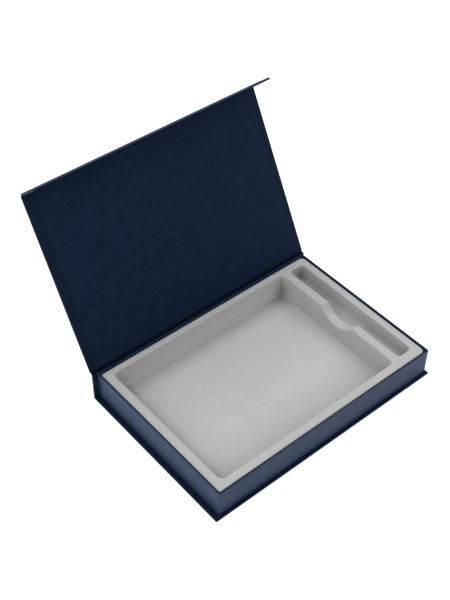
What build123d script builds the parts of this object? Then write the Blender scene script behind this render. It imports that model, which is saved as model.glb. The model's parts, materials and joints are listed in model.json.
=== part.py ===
from build123d import *
import os

os.makedirs("parts", exist_ok=True)

# Book-style rigid box with a fold-over magnetic flap and a two-compartment insert.
# Millimetres. X runs along the hinge, -Y is the front (flap side), +Y the spine, +Z up.
# Origin: middle of the closed box's footprint, on the underside of the base board.

# ---- driving dimensions -------------------------------------------------------
CASE_W = 270.0          # width of every case panel (X)
CASE_D = 183.0          # base board front edge to outer face of the spine
PAPER = 0.2             # covering paper
BOARD = 2.0             # case greyboard
PANEL = BOARD + 2 * PAPER
BASE_D = 180.4          # depth of the covered base panel
SPINE_GAP = 0.2         # fold gap between base panel and spine
SPINE_Z0, SPINE_Z1 = 0.3, 33.6
TURN_IN = 15.0          # covering paper turned in on the inside faces

SIDE_INSET = 4.0        # base panel showing beyond the tray, left and right
FRONT_INSET = 3.0       # base panel showing in front of the tray
TRAY_X = 1.5            # tray glued this far towards the pen side of the middle
RIM_Z = 33.6            # top of the covered tray wall
WALL = 1.5              # tray greyboard
TRAY_TURN = 16.0        # covering turned down inside the tray walls

HINGE_Y, HINGE_Z = 183.3, 34.4      # lid fold line (from the base front edge, from the table)
HINGE_CLEAR = 0.8                   # fold line to the edge of a panel
LID_LEN = 180.8                     # lid fold line to flap fold line
LID_OPEN = 118.0                    # lid opening in the rest pose, degrees from closed
FLAP_LEN = 31.6                     # flap fold line to flap tip
FLAP_FOLD = 77.2                    # flap fold in the rest pose, degrees from flat
LINER = 0.15
LINER_SIDE = 9.0

MAGNET_R, MAGNET_T, MAGNET_X, MAGNET_Z = 5.0, 1.4, 75.0, 17.5
STRIKE_T = 0.9

PAD_T = 0.8             # pad under the insert block
INSERT_GAP = 0.4        # insert to tray wall
INSERT_TOP = 32.0
POCKET = (-119.3, 94.5, 14.4, 171.9)     # x0, x1, y0, y1 at the top face, x from the tray middle
POCKET_R = 5.5
SLOT = (103.7, 120.8, 16.2, 169.9)
SLOT_R = 4.5
SLOT_FLOOR = 16.2
DRAFT = 3.0             # degrees, pocket and slot walls
NOTCH_Y, NOTCH_W, NOTCH_DEEP = 92.0, 42.0, 11.0

YO = CASE_D / 2.0       # moves "from the base front edge" to the part's own frame


def blk(x0, x1, y0, y1, z0, z1):
    s = Box(x1 - x0, y1 - y0, z1 - z0)
    return Pos((x0 + x1) / 2, (y0 + y1) / 2 - YO, (z0 + z1) / 2) * s


def turn_x(shape, y, z, deg):
    """Turn a shape about the line through (y, z) parallel to X, y -> z positive."""
    return Pos(0, y - YO, z) * Rot(deg, 0, 0) * Pos(0, -(y - YO), -z) * shape


def disc(x, y, z, r, t):
    """Disc lying on its Y axis, centred at x, y, z."""
    return Pos(x, y - YO, z) * Rot(90, 0, 0) * Cylinder(r, t)


W2 = CASE_W / 2.0
nodes = {}

# ---- base panel ---------------------------------------------------------------
base_board = blk(-W2 + PAPER, W2 - PAPER, PAPER, BASE_D - PAPER, PAPER, PAPER + BOARD)
nodes["base_board"] = base_board
nodes["base_wrap"] = (
    blk(-W2, W2, 0, BASE_D, 0, PANEL)
    - base_board
    - blk(-W2 + TURN_IN, W2 - TURN_IN, TURN_IN, BASE_D - TURN_IN, PAPER + BOARD, PANEL + 1)
)

# ---- spine panel, standing against the back of the tray -------------------------
SY0 = BASE_D + SPINE_GAP
SY1 = CASE_D
spine_board = blk(-W2 + PAPER, W2 - PAPER, SY0 + PAPER, SY1 - PAPER, SPINE_Z0, SPINE_Z1)
nodes["spine_board"] = spine_board
# the covering is carried round the bottom corner from the base panel to the spine
nodes["spine_wrap"] = (
    blk(-W2, W2, SY0, SY1, SPINE_Z0, SPINE_Z1)
    - spine_board
    - blk(-W2 + TURN_IN, W2 - TURN_IN, SY0 - 1, SY0 + PAPER, SPINE_Z0 - 1, SPINE_Z1 + 1)
) + (blk(-W2, W2, BASE_D, SY1, 0, PAPER) + blk(-W2, W2, SY1 - PAPER, SY1, PAPER, SPINE_Z0))
nodes["spine_liner"] = blk(-W2 + TURN_IN, W2 - TURN_IN, SY0, SY0 + PAPER, SPINE_Z0, SPINE_Z1)
# paper over the top edge of the spine, rising to the lid fold line
over_top = blk(-W2, W2, SY0, SY1, SPINE_Z1, SPINE_Z1 + PAPER)
rise = extrude(
    Plane.YZ
    * Polygon(
        (SY1 - PAPER * 2 - YO, SPINE_Z1 + PAPER),
        (SY1 - YO, SPINE_Z1 + PAPER),
        (HINGE_Y + 0.10 - YO, HINGE_Z - 0.12),
        (HINGE_Y - 0.12 - YO, HINGE_Z - 0.12),
        align=None,
    ),
    amount=W2,
    both=True,
)
nodes["spine_fold_paper"] = over_top + rise

# ---- tray set-up box ------------------------------------------------------------
TX = W2 - SIDE_INSET               # covered outer face
TY0, TY1 = FRONT_INSET, SY0        # covered outer faces, front and back
TZ0 = PANEL
BX = TX - PAPER
BY0, BY1 = TY0 + PAPER, TY1 - PAPER
floor = blk(-BX, BX, BY0, BY1, TZ0, TZ0 + WALL)
WZ0, WZ1 = TZ0 + WALL, RIM_Z - PAPER
wall_front = blk(-BX, BX, BY0, BY0 + WALL, WZ0, WZ1)
wall_back = blk(-BX, BX, BY1 - WALL, BY1, WZ0, WZ1)
wall_left = blk(-BX, -BX + WALL, BY0 + WALL, BY1 - WALL, WZ0, WZ1)
wall_right = blk(BX - WALL, BX, BY0 + WALL, BY1 - WALL, WZ0, WZ1)

# steel discs let into the inner side of the front wall, opposite the flap magnets
strikes = [
    disc(sx * MAGNET_X, BY0 + WALL - STRIKE_T / 2, MAGNET_Z, MAGNET_R, STRIKE_T) for sx in (-1, 1)
]
for sx in (-1, 1):
    wall_front -= disc(
        sx * MAGNET_X, BY0 + WALL - STRIKE_T / 2, MAGNET_Z, MAGNET_R + 0.15, STRIKE_T
    )

# paper stays round the outside of the four corners
STAY_T, STAY_L = 0.1, 12.0
stays = []
for sx in (-1, 1):
    for y, sy in ((BY0, 1), (BY1, -1)):
        xa, xb = sorted((sx * (BX + STAY_T), sx * (BX - STAY_L)))
        ya, yb = sorted((y - sy * STAY_T, y))
        leg1 = blk(xa, xb, ya, yb, WZ0, WZ1)
        xc, xd = sorted((sx * BX, sx * (BX + STAY_T)))
        yc, yd = sorted((y, y + sy * STAY_L))
        leg2 = blk(xc, xd, yc, yd, WZ0, WZ1)
        stays.append(leg1 + leg2)

IX = BX - WALL - PAPER
IY0, IY1 = BY0 + WALL + PAPER, BY1 - WALL - PAPER
outer_skin = blk(-TX, TX, TY0, TY1, TZ0, RIM_Z) - blk(-BX, BX, BY0, BY1, TZ0 - 1, WZ1)
inner_skin = blk(-IX - PAPER, IX + PAPER, IY0 - PAPER, IY1 + PAPER, RIM_Z - TRAY_TURN, RIM_Z)
tray_wrap = (outer_skin + inner_skin) - blk(-IX, IX, IY0, IY1, TZ0 - 1, RIM_Z + 1)
for s in stays:
    tray_wrap -= s

nodes["tray_floor"] = floor
nodes["tray_front_wall"] = wall_front
nodes["tray_back_wall"] = wall_back
nodes["tray_left_wall"] = wall_left
nodes["tray_right_wall"] = wall_right
nodes["tray_corner_stays"] = Compound(children=stays)
nodes["tray_wrap"] = tray_wrap
nodes["tray_strike_discs"] = Compound(children=strikes)

# ---- insert -----------------------------------------------------------------------
NX = IX - INSERT_GAP
NY0, NY1 = IY0 + INSERT_GAP, IY1 - INSERT_GAP
NZ0 = TZ0 + WALL
nodes["insert_pad"] = blk(-NX, NX, NY0, NY1, NZ0, NZ0 + PAD_T)


def well(x0, x1, y0, y1, r, z_top, depth):
    """Rounded well with drafted walls, opening upward at z_top."""
    sk = Plane((((x0 + x1) / 2), (y0 + y1) / 2 - YO, z_top)) * RectangleRounded(x1 - x0, y1 - y0, r)
    return extrude(sk, amount=depth, dir=(0, 0, -1), taper=DRAFT)


block = blk(-NX, NX, NY0, NY1, NZ0 + PAD_T, INSERT_TOP)
vert = block.edges().filter_by(Axis.Z)
block = fillet([e for e in vert if e.center().X > 0], 5.0)
vert = block.edges().filter_by(Axis.Z)
block = fillet([e for e in vert if e.center().X < -NX + 0.1], 2.0)
block -= well(*POCKET, POCKET_R, INSERT_TOP, INSERT_TOP - NZ0 - PAD_T)
block -= well(*SLOT, SLOT_R, INSERT_TOP, INSERT_TOP - SLOT_FLOOR)
# finger scoop across the rib between the two wells, a circular arc seen from the side
notch_r = ((NOTCH_W / 2) ** 2 + NOTCH_DEEP ** 2) / (2 * NOTCH_DEEP)
scoop = (
    Pos((POCKET[1] + SLOT[0]) / 2, NOTCH_Y - YO, INSERT_TOP - NOTCH_DEEP + notch_r)
    * Rot(0, 90, 0)
    * Cylinder(notch_r, SLOT[0] - POCKET[1] + 6.0)
)
block -= scoop
nodes["insert_block"] = block

for name in list(nodes):
    if name.startswith(("tray_", "insert_")):
        moved = [Pos(TRAY_X, 0, 0) * s for s in nodes[name].solids()]
        nodes[name] = moved[0] if len(moved) == 1 else Compound(children=moved)

# ---- lid, drawn closed and then opened to the rest pose ----------------------------
LY1 = HINGE_Y - HINGE_CLEAR
LY0 = HINGE_Y - LID_LEN + HINGE_CLEAR
LZ = HINGE_Z
lid_board = blk(-W2 + PAPER, W2 - PAPER, LY0 + PAPER, LY1 - PAPER, LZ + PAPER, LZ + PAPER + BOARD)
lid_wrap = (
    blk(-W2, W2, LY0, LY1, LZ, LZ + PANEL)
    - lid_board
    - blk(-W2 + TURN_IN, W2 - TURN_IN, LY0 + TURN_IN, LY1 - TURN_IN, LZ - 1, LZ + PAPER)
)
lid_liner = blk(-W2 + LINER_SIDE, W2 - LINER_SIDE, LY0 + 0.6, LY1 - 0.6, LZ - LINER, LZ) + blk(
    -W2 + TURN_IN, W2 - TURN_IN, LY0 + TURN_IN, LY1 - TURN_IN, LZ, LZ + PAPER
)
# paper leaf carried from the lid panel back to the fold line
lid_fold_paper = blk(-W2, W2, LY1, HINGE_Y - 0.15, LZ, LZ + PAPER)
# paper leaf carried from the lid panel forward to the flap fold line
FY = HINGE_Y - LID_LEN
lid_front_fold_paper = blk(-W2, W2, FY + 0.15, LY0, LZ, LZ + PAPER)

for name, s in (
    ("lid_board", lid_board),
    ("lid_wrap", lid_wrap),
    ("lid_liner", lid_liner),
    ("lid_fold_paper", lid_fold_paper),
    ("lid_front_fold_paper", lid_front_fold_paper),
):
    nodes[name] = turn_x(s, HINGE_Y, HINGE_Z, -LID_OPEN)

# ---- flap, drawn flat in line with the closed lid -----------------------------------
PY1 = FY - HINGE_CLEAR
PY0 = FY - FLAP_LEN
flap_board = blk(-W2 + PAPER, W2 - PAPER, PY0 + PAPER, PY1 - PAPER, LZ + PAPER, LZ + PAPER + BOARD)
mag_y = FY - (HINGE_Z - MAGNET_Z)
mag_z = LZ + PAPER + MAGNET_T / 2
magnets = []
for sx in (-1, 1):
    magnets.append(Pos(sx * MAGNET_X, mag_y - YO, mag_z) * Cylinder(MAGNET_R, MAGNET_T))
    flap_board -= Pos(sx * MAGNET_X, mag_y - YO, mag_z) * Cylinder(MAGNET_R + 0.15, MAGNET_T)
flap_wrap = (
    blk(-W2, W2, PY0, PY1, LZ, LZ + PANEL)
    - blk(-W2 + PAPER, W2 - PAPER, PY0 + PAPER, PY1 - PAPER, LZ + PAPER, LZ + PAPER + BOARD)
)
flap_liner = blk(-W2 + LINER_SIDE, W2 - LINER_SIDE, PY0 + 3.0, PY1 - 0.6, LZ - LINER, LZ)
flap_fold_paper = blk(-W2, W2, PY1, FY - 0.15, LZ, LZ + PAPER)

for name, s in (
    ("flap_board", flap_board),
    ("flap_wrap", flap_wrap),
    ("flap_liner", flap_liner),
    ("flap_magnets", Compound(children=magnets)),
    ("flap_fold_paper", flap_fold_paper),
):
    s = turn_x(s, FY, HINGE_Z, FLAP_FOLD)
    nodes[name] = turn_x(s, HINGE_Y, HINGE_Z, -LID_OPEN)

for name, shape in nodes.items():
    export_step(shape, "parts/%s.step" % name)
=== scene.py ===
import bpy, bmesh, json, math
from mathutils import Vector, Matrix, noise
from mathutils.geometry import delaunay_2d_cdt


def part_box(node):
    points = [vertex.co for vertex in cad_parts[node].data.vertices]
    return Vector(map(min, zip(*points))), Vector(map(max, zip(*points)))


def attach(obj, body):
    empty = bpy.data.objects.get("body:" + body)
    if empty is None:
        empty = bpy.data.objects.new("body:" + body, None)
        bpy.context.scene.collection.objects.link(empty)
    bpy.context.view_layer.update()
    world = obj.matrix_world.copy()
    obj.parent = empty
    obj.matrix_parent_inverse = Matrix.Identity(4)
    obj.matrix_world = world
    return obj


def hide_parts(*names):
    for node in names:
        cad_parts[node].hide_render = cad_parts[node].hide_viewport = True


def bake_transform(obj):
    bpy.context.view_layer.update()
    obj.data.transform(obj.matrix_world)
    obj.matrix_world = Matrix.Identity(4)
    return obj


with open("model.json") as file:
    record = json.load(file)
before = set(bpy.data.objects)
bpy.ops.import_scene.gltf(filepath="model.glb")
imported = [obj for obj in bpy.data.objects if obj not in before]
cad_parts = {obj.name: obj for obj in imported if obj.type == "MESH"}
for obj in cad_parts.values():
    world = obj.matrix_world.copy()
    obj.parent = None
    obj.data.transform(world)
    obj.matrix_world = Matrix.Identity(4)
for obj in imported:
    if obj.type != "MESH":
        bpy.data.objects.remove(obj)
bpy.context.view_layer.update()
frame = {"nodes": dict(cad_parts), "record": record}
REC = frame["record"]
JOINT = {j["name"]: j for j in REC["behaviour"]["joints"]}

MM = 0.001
YO = 91.5                      # "from the base front edge" to the row frame
W2 = 135.0                     # half width of every case panel
LID_OPEN, FLAP_FOLD = 118.0, 77.2
HY = JOINT["lid_hinge"]["pos_m"][1] / MM + YO
HZ = JOINT["lid_hinge"]["pos_m"][2] / MM
PANEL = 2.4


def extent(node):
    """(lo, hi) of a CAD node in mm, y from the base front edge."""
    lo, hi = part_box(node)
    return (
        Vector((lo[0] / MM, lo[1] / MM + YO, lo[2] / MM)),
        Vector((hi[0] / MM, hi[1] / MM + YO, hi[2] / MM)),
    )


# ------------------------------------------------------------------ frames
def rot_x(p, y, z, deg):
    a = math.radians(deg)
    dy, dz = p[1] - y, p[2] - z
    return Vector((p[0], y + dy * math.cos(a) - dz * math.sin(a), z + dy * math.sin(a) + dz * math.cos(a)))


LID_LEN = 180.8
FY = HY - LID_LEN              # flap fold line, lid closed


def on_tray(p):
    return Vector(p)


def on_lid(p):
    """Closed-lid coordinates to the rest pose."""
    return rot_x(p, HY, HZ, -LID_OPEN)


def on_flap(p):
    """Coordinates with lid closed and flap flat, to the rest pose."""
    return rot_x(rot_x(p, FY, HZ, FLAP_FOLD), HY, HZ, -LID_OPEN)


# ------------------------------------------------------------------ mesh helpers
def wave(p, size, seed):
    """Smooth seeded noise, about -1 to 1."""
    return noise.noise(Vector((p[0] / size + seed * 17.3, p[1] / size - seed * 9.1, p[2] / size + seed * 3.7)))


def make(name, verts, faces, place=on_tray, smooth=True, wear_and_light=None):
    """A mesh object from millimetre points. The per-point list gives one number a point, for the attribute that carries
    edge wear and also painted shade and painted sheen.
    """
    me = bpy.data.meshes.new(name)
    me.from_pydata([], [], [])
    pts = [place(v) for v in verts]
    me.from_pydata([((p[0]) * MM, (p[1] - YO) * MM, p[2] * MM) for p in pts], [], faces)
    me.validate()
    me.update()
    ob = bpy.data.objects.new(name, me)
    bpy.context.scene.collection.objects.link(ob)
    at = me.attributes.new("wear_and_painted_light", "FLOAT", "POINT")
    at.data.foreach_set("value", wear_and_light if wear_and_light is not None else [0.0] * len(verts))
    if smooth:
        me.polygons.foreach_set("use_smooth", [True] * len(me.polygons))
    return ob


def sharp_by_angle(ob, deg):
    """Marks edges sharper than deg, so that smooth shading keeps them crisp."""
    bm = bmesh.new()
    bm.from_mesh(ob.data)
    bmesh.ops.recalc_face_normals(bm, faces=bm.faces)
    for e in bm.edges:
        if len(e.link_faces) == 2:
            e.smooth = e.calc_face_angle(0.0) < math.radians(deg)
    bm.to_mesh(ob.data)
    bm.free()
    return ob


def spaced(a, b, r, n, pitch):
    """Stops from a to b: n stops inside each end's rounding r, then about one every pitch."""
    s = [a + r * (1 - math.cos(math.pi / 2 * k / n)) for k in range(n + 1)]
    inner_a, inner_b = a + r, b - r
    m = max(1, int(round((inner_b - inner_a) / pitch)))
    s += [inner_a + (inner_b - inner_a) * k / m for k in range(1, m)]
    s += [b - r * (1 - math.cos(math.pi / 2 * k / n)) for k in range(n, -1, -1)]
    return s


def near(d, w):
    """1 at d = 0, easing to 0 at d = w."""
    t = min(1.0, max(0.0, d / w))
    return (1 - t) ** 2 * (1 + 2 * t)


def panel(name, lo, hi, r=0.6, pitch=7.0, place=on_tray, bow=None, n=4, wear_w=1.4, wear_and_light_at=None):
    """A paper-covered board: a closed box with rounded edges, gridded so that it can bow and ripple a little."""
    lo, hi = Vector(lo), Vector(hi)
    axes = [spaced(lo[i], hi[i], r, n, pitch) for i in range(3)]
    index, verts, faces = {}, [], []

    def point(i, j, k):
        key = (i, j, k)
        if key not in index:
            p = Vector((axes[0][i], axes[1][j], axes[2][k]))
            q = Vector([min(max(p[c], lo[c] + r), hi[c] - r) for c in range(3)])
            d = p - q
            if d.length > 1e-9:
                # only the outer shell is rounded
                m = max(abs(d[c]) for c in range(3))
                if m > r - 1e-6 or True:
                    p = q + d.normalized() * r
            index[key] = len(verts)
            verts.append(p)
        return index[key]

    na, nb, nc = (len(a) - 1 for a in axes)
    for j in range(nb):
        for k in range(nc):
            faces.append((point(0, j, k), point(0, j, k + 1), point(0, j + 1, k + 1), point(0, j + 1, k)))
            faces.append((point(na, j, k), point(na, j + 1, k), point(na, j + 1, k + 1), point(na, j, k + 1)))
    for i in range(na):
        for k in range(nc):
            faces.append((point(i, 0, k), point(i + 1, 0, k), point(i + 1, 0, k + 1), point(i, 0, k + 1)))
            faces.append((point(i, nb, k), point(i, nb, k + 1), point(i + 1, nb, k + 1), point(i + 1, nb, k)))
    for i in range(na):
        for j in range(nb):
            faces.append((point(i, j, 0), point(i, j + 1, 0), point(i + 1, j + 1, 0), point(i + 1, j, 0)))
            faces.append((point(i, j, nc), point(i + 1, j, nc), point(i + 1, j + 1, nc), point(i, j + 1, nc)))
    wear_and_light = []
    for p in verts:
        d = sorted(min(p[c] - lo[c], hi[c] - p[c]) for c in range(3))
        wear_and_light.append(wear_and_light_at(p) if wear_and_light_at else max(0.0, 1.0 - d[1] / wear_w) * (0.55 + 0.45 * wave(p, 9.0, 3)))
    if bow:
        verts = [bow(p) for p in verts]
    return make(name, verts, faces, place, wear_and_light=wear_and_light)


def strip(name, outline, x0, x1, pitch=5.0, place=on_tray, jitter=0.0, seed=1, wear_and_light=0.0):
    """A closed band along X with the given (y, z) outline."""
    m = max(2, int(round((x1 - x0) / pitch)))
    xs = [x0 + (x1 - x0) * k / m for k in range(m + 1)]
    verts, faces, n = [], [], len(outline)
    for x in xs:
        for y, z in outline:
            j = jitter * wave((x, y * 4, z * 4), 14.0, seed)
            verts.append((x, y + j, z + j))
    for a in range(m):
        for b in range(n):
            c = (b + 1) % n
            faces.append((a * n + b, a * n + c, (a + 1) * n + c, (a + 1) * n + b))
    faces.append(tuple(range(n - 1, -1, -1)))
    faces.append(tuple(m * n + b for b in range(n)))
    return make(name, verts, faces, place, wear_and_light=(wear_and_light if isinstance(wear_and_light, list) else [wear_and_light] * n) * (m + 1))


def join(name, *obs):
    """Several meshes as one piece."""
    bm = bmesh.new()
    lay = bm.verts.layers.float.new("wear_and_painted_light")
    for ob in obs:
        tmp = bmesh.new()
        tmp.from_mesh(ob.data)
        src = tmp.verts.layers.float.get("wear_and_painted_light")
        vm = {}
        for v in tmp.verts:
            nv = bm.verts.new(v.co)
            nv[lay] = v[src] if src else 0.0
            vm[v] = nv
        for f in tmp.faces:
            nf = bm.faces.new([vm[v] for v in f.verts])
            nf.smooth = f.smooth
        tmp.free()
    bmesh.ops.recalc_face_normals(bm, faces=bm.faces)
    me = bpy.data.meshes.new(name)
    bm.to_mesh(me)
    bm.free()
    for ob in obs:
        bpy.data.objects.remove(ob, do_unlink=True)
    out = bpy.data.objects.new(name, me)
    bpy.context.scene.collection.objects.link(out)
    return out


# ------------------------------------------------------------------ materials
class Nodes:
    def __init__(self, name):
        self.mat = bpy.data.materials.new(name)
        self.mat.use_nodes = True
        self.t = self.mat.node_tree
        self.t.nodes.clear()
        self.out = self.t.nodes.new("ShaderNodeOutputMaterial")
        self.bsdf = self.t.nodes.new("ShaderNodeBsdfPrincipled")
        self.t.links.new(self.bsdf.outputs[0], self.out.inputs[0])
        self.co = self.t.nodes.new("ShaderNodeTexCoord").outputs["Object"]

    def link(self, a, b):
        self.t.links.new(a, b)

    def noise(self, scale, detail=2.0, rough=0.5, stretch=None, distort=0.0):
        n = self.t.nodes.new("ShaderNodeTexNoise")
        n.inputs["Scale"].default_value = scale
        n.inputs["Detail"].default_value = detail
        n.inputs["Roughness"].default_value = rough
        n.inputs["Distortion"].default_value = distort
        if stretch:
            m = self.t.nodes.new("ShaderNodeMapping")
            m.inputs["Scale"].default_value = stretch
            self.link(self.co, m.inputs["Vector"])
            self.link(m.outputs[0], n.inputs["Vector"])
        else:
            self.link(self.co, n.inputs["Vector"])
        return n.outputs["Fac"]

    def ramp(self, fac, stops):
        r = self.t.nodes.new("ShaderNodeValToRGB")
        e = r.color_ramp.elements
        while len(e) < len(stops):
            e.new(0.5)
        for el, (pos, col) in zip(e, stops):
            el.position = pos
            el.color = (*col, 1.0) if len(col) == 3 else col
        self.link(fac, r.inputs[0])
        return r.outputs[0]

    def mix(self, a, b, fac, mode="MIX"):
        m = self.t.nodes.new("ShaderNodeMix")
        m.data_type = "RGBA"
        m.blend_type = mode
        for sock, val in ((m.inputs[6], a), (m.inputs[7], b), (m.inputs[0], fac)):
            if hasattr(val, "links") or hasattr(val, "is_linked"):
                self.link(val, sock)
            elif isinstance(val, (tuple, list)):
                sock.default_value = (*val, 1.0) if len(val) == 3 else val
            else:
                sock.default_value = val
        return m.outputs[2]

    def math(self, op, a, b=0.0, clamp=False):
        m = self.t.nodes.new("ShaderNodeMath")
        m.operation = op
        m.use_clamp = clamp
        for sock, val in ((m.inputs[0], a), (m.inputs[1], b)):
            if hasattr(val, "is_linked"):
                self.link(val, sock)
            else:
                sock.default_value = val
        return m.outputs[0]

    def range(self, fac, a, b, lo, hi):
        m = self.t.nodes.new("ShaderNodeMapRange")
        self.link(fac, m.inputs[0])
        for i, v in enumerate((a, b, lo, hi)):
            m.inputs[i + 1].default_value = v
        return m.outputs[0]

    def attr(self, name):
        a = self.t.nodes.new("ShaderNodeAttribute")
        a.attribute_name = name
        return a.outputs["Fac"]

    def bump(self, heights):
        """heights: [(socket, distance in metres)]. Chained, coarse first."""
        last = None
        for h, d in heights:
            b = self.t.nodes.new("ShaderNodeBump")
            b.inputs["Strength"].default_value = 1.0
            b.inputs["Distance"].default_value = d
            self.link(h, b.inputs["Height"])
            if last is not None:
                self.link(last, b.inputs["Normal"])
            last = b.outputs[0]
        self.link(last, self.bsdf.inputs["Normal"])


def paper(name, dark, mid, light, rough=(0.54, 0.66), wear_and_light_tone=(0.035, 0.055, 0.095), wear_and_light_amt=0.30, wear_and_light_min=0.0, spec=0.5, sheen=0.2, tint=(0.20, 0.45, 1.0), grain=1.0):
    """Dyed covering paper: cloudy colour, short fibres, a fine felt grain and paler worn edges. The same attribute and
    edge tone also give the fold paper a painted shade and the flap paper a painted sheen.
    """
    n = Nodes(name)
    cloud = n.noise(95.0, 4.0, 0.55)
    mottle = n.noise(420.0, 3.0, 0.6)
    fibre = n.noise(1500.0, 2.0, 0.6, stretch=(1.0, 0.35, 1.0), distort=0.4)
    fibre2 = n.noise(1700.0, 2.0, 0.6, stretch=(0.35, 1.0, 1.0), distort=0.4)
    tone = n.math("ADD", n.math("MULTIPLY", cloud, 0.45), n.math("MULTIPLY", mottle, 0.55))
    col = n.ramp(tone, [(0.36, dark), (0.5, mid), (0.64, light)])
    hair = n.range(fibre, 0.60, 0.72, 0.0, 0.30)
    col = n.mix(col, light, hair)
    hair2 = n.range(fibre2, 0.60, 0.72, 0.0, 0.22)
    col = n.mix(col, dark, hair2)
    edge = n.math("MULTIPLY", n.attr("wear_and_painted_light"), n.range(n.noise(650.0, 3.0, 0.65), 0.40, 0.66, wear_and_light_min, wear_and_light_amt), clamp=True)
    col = n.mix(col, wear_and_light_tone, edge)
    n.link(col, n.bsdf.inputs["Base Color"])
    rg = n.range(n.math("ADD", n.math("MULTIPLY", mottle, 0.5), n.math("MULTIPLY", cloud, 0.5)), 0.38, 0.62, rough[0], rough[1])
    rg = n.math("ADD", rg, n.math("MULTIPLY", edge, 0.25))
    n.link(rg, n.bsdf.inputs["Roughness"])
    n.bsdf.inputs["Specular IOR Level"].default_value = spec
    n.bsdf.inputs["Specular Tint"].default_value = (*tint, 1.0)
    n.bsdf.inputs["Sheen Weight"].default_value = sheen
    n.bsdf.inputs["Sheen Roughness"].default_value = 0.35
    n.bsdf.inputs["Sheen Tint"].default_value = (0.30, 0.48, 1.0, 1.0)
    n.bump([(mottle, 0.00010 * grain), (n.noise(1900.0, 3.0, 0.7), 0.00005 * grain), (fibre, 0.00003 * grain)])
    return n.mat


# attribute level at which the flock shows its own colour; lower values darken it as painted shade
PILE_UNSHADED = 0.776


def flock(name, low, high, sheen=0.35):
    """Short-pile flock: speckled fibre ends, faint nap patches, velvet sheen."""
    n = Nodes(name)
    nap = n.noise(38.0, 3.0, 0.5)
    grain = n.noise(1600.0, 2.0, 0.75)
    fine = n.noise(3600.0, 2.0, 0.7)
    tone = n.math("ADD", n.math("MULTIPLY", nap, 0.06), n.math("MULTIPLY", grain, 0.60))
    tone = n.math("ADD", tone, n.math("MULTIPLY", fine, 0.34))
    # the attribute is painted shade on the flock: 0 darkest (0.55 of the colour), 0.776 the colour as made, 1 lighter
    # (1.13 of it)
    down = n.ramp(tone, [(0.38, tuple(c * 0.55 for c in low)), (0.62, tuple(c * 0.55 for c in high))])
    up = n.ramp(tone, [(0.38, tuple(c * 1.13 for c in low)), (0.62, tuple(c * 1.13 for c in high))])
    col = n.mix(down, up, n.attr("wear_and_painted_light"))
    n.link(col, n.bsdf.inputs["Base Color"])
    n.link(n.range(nap, 0.35, 0.65, 0.88, 0.98), n.bsdf.inputs["Roughness"])
    n.bsdf.inputs["Specular IOR Level"].default_value = 0.15
    n.bsdf.inputs["Sheen Weight"].default_value = sheen
    n.bsdf.inputs["Sheen Roughness"].default_value = 0.5
    n.bsdf.inputs["Sheen Tint"].default_value = (0.9, 0.9, 0.92, 1.0)
    n.bump([(n.noise(700.0, 3.0, 0.7), 0.00016), (fine, 0.00014)])
    return n.mat


def greyboard(name):
    n = Nodes(name)
    a = n.noise(240.0, 4.0, 0.6)
    specks = n.noise(2300.0, 2.0, 0.7)
    layers = n.noise(900.0, 2.0, 0.6, stretch=(0.15, 0.15, 3.0))
    col = n.ramp(a, [(0.35, (0.20, 0.185, 0.165)), (0.65, (0.30, 0.28, 0.25))])
    col = n.mix(col, (0.10, 0.09, 0.08), n.range(specks, 0.62, 0.74, 0.0, 0.6))
    col = n.mix(col, (0.36, 0.34, 0.31), n.range(layers, 0.5, 0.7, 0.0, 0.4))
    n.link(col, n.bsdf.inputs["Base Color"])
    n.link(n.range(a, 0.3, 0.7, 0.85, 0.97), n.bsdf.inputs["Roughness"])
    n.bump([(specks, 0.00008), (layers, 0.00008)])
    return n.mat


def kraft(name):
    n = Nodes(name)
    a = n.noise(300.0, 3.0, 0.6)
    f = n.noise(1500.0, 2.0, 0.7, stretch=(1.0, 1.0, 0.3))
    col = n.ramp(a, [(0.35, (0.30, 0.19, 0.10)), (0.65, (0.42, 0.28, 0.16))])
    col = n.mix(col, (0.20, 0.12, 0.06), n.range(f, 0.60, 0.75, 0.0, 0.5))
    n.link(col, n.bsdf.inputs["Base Color"])
    n.link(n.range(a, 0.3, 0.7, 0.62, 0.80), n.bsdf.inputs["Roughness"])
    n.bump([(f, 0.00004)])
    return n.mat


def metal(name, colour, rough):
    n = Nodes(name)
    turned = n.noise(1800.0, 2.0, 0.6, stretch=(1.0, 0.1, 1.0))
    spots = n.noise(500.0, 3.0, 0.6)
    n.bsdf.inputs["Metallic"].default_value = 1.0
    col = n.mix(colour, tuple(c * 0.6 for c in colour), n.range(spots, 0.55, 0.75, 0.0, 0.5))
    n.link(col, n.bsdf.inputs["Base Color"])
    n.link(n.range(turned, 0.3, 0.7, rough, rough + 0.15), n.bsdf.inputs["Roughness"])
    n.bump([(turned, 0.00001)])
    return n.mat


M_CASE = paper("case_paper", (0.0024, 0.0062, 0.0140), (0.0034, 0.0082, 0.0185), (0.0050, 0.0112, 0.0245), rough=(0.56, 0.68), spec=0.25, sheen=0.20)
# tray paper: a lighter copy of the case paper; the extra lightness is painted light, standing in for the walls' sheen
# reflected from the bright floor
M_COVER_LIT = paper("tray_paper_lit", (0.0085, 0.0165, 0.0360), (0.0108, 0.0200, 0.0430), (0.0135, 0.0240, 0.0510), rough=(0.46, 0.56), spec=0.24, sheen=0.36)
M_LINING = paper("lining_paper", (0.0046, 0.0114, 0.0275), (0.0062, 0.0148, 0.0350), (0.0084, 0.0192, 0.0440), rough=(0.52, 0.64), spec=0.15, sheen=0.10, wear_and_light_amt=0.2)
# folded paper: the case paper, its inside crease painted near-black as painted shade for the shadow in the fold
M_FOLD_SHADE = paper("fold_paper", (0.0024, 0.0062, 0.0140), (0.0034, 0.0082, 0.0185), (0.0050, 0.0112, 0.0245), rough=(0.62, 0.74), wear_and_light_tone=(0.0004, 0.0010, 0.0024), wear_and_light_amt=0.98, wear_and_light_min=0.85, spec=0.12, sheen=0.06)
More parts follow.
